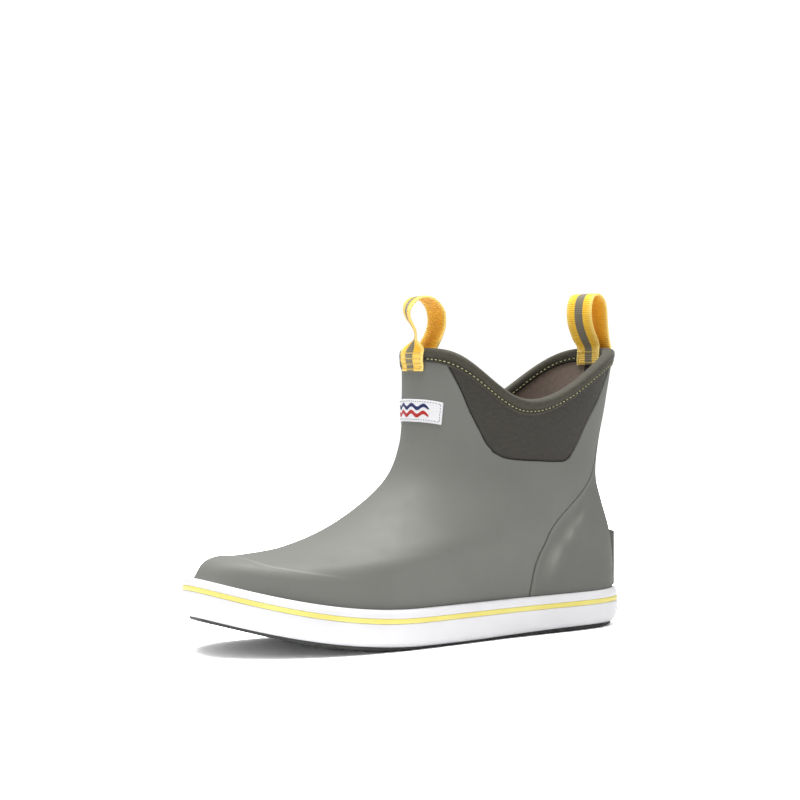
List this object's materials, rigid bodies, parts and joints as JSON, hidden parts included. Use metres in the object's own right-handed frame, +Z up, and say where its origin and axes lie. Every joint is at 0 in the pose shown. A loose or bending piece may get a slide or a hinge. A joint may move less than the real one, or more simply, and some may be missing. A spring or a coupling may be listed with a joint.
{
  "type": "deck boot",
  "caption": "Left ankle-high rubber deck boot with a white foxing band, stretch side gores, a bound collar and webbing pull loops.",
  "frame": {"origin": "on the ground under the middle of the sole", "axes": "+X towards the toe, +Y towards the wearer's left, which is this boot's outer side, +Z up"},
  "size_m": [0.3, 0.1039, 0.2089],
  "materials": {
    "outsole_rubber": "dark siped rubber, matt",
    "midsole_foam": "closed-cell foam, matt",
    "insole_board": "pressed fibre board",
    "foxing_rubber": "white rubber, satin",
    "stripe_rubber": "yellow rubber, satin",
    "footbed_foam": "moulded foam, matt",
    "lining_fabric": "brushed knit",
    "shell_rubber": "grey rubber, matt with a soft sheen",
    "counter_rubber": "grey rubber, matt with a soft sheen",
    "stiffener_fabric": "resin-set felt",
    "gore_fabric": "stretch knit over neoprene",
    "tape_dark": "flat seam tape",
    "binding_tape": "olive woven tape",
    "thread_green": "yellow-green thread",
    "webbing_yellow": "yellow webbing with a grey stripe",
    "thread_gold": "gold thread",
    "label_white": "woven white patch",
    "emblem_navy": "navy embroidery",
    "emblem_red": "red embroidery",
    "thread_grey": "pale grey thread"
  },
  "bodies": {
    "boot": {"outsole": "outsole_rubber", "midsole": "midsole_foam", "insole_board": "insole_board", "foxing": "foxing_rubber", "foxing_stripe": "stripe_rubber", "footbed": "footbed_foam", "footbed_cover": "lining_fabric", "vamp_shell": "shell_rubber", "heel_counter": "counter_rubber", "heel_tab": "counter_rubber", "toe_puff": "stiffener_fabric", "heel_stiffener": "stiffener_fabric", "gore_outer": "gore_fabric", "gore_inner": "gore_fabric", "lining": "lining_fabric", "inner_back_tape": "tape_dark", "collar_binding": "binding_tape", "collar_stitching_outside": "thread_green", "collar_stitching_inside": "thread_green", "front_loop_ends": "webbing_yellow", "front_loop_stitching": "thread_gold", "rear_loop_ends": "webbing_yellow", "rear_loop_stitching": "thread_gold", "front_label": "label_white", "label_wave_upper": "emblem_navy", "label_wave_lower": "emblem_red", "label_stitching": "thread_grey"},
    "front_loop": {"front_pull_loop": "webbing_yellow"},
    "rear_loop": {"rear_pull_loop": "webbing_yellow"}
  },
  "joints": [
    {"name": "front_loop_fold", "type": "hinge", "parent": "boot", "child": "front_loop", "pos_m": [-0.00229, -0.002, 0.17987], "axis": [0.309, 0.9511, 0], "range_deg": [-70, 70], "stiffness_Nm_per_rad": 0.006},
    {"name": "rear_loop_fold", "type": "hinge", "parent": "boot", "child": "rear_loop", "pos_m": [-0.14204, -0.002, 0.18077], "axis": [0, 1, 0], "range_deg": [-70, 70], "stiffness_Nm_per_rad": 0.006}
  ]
}
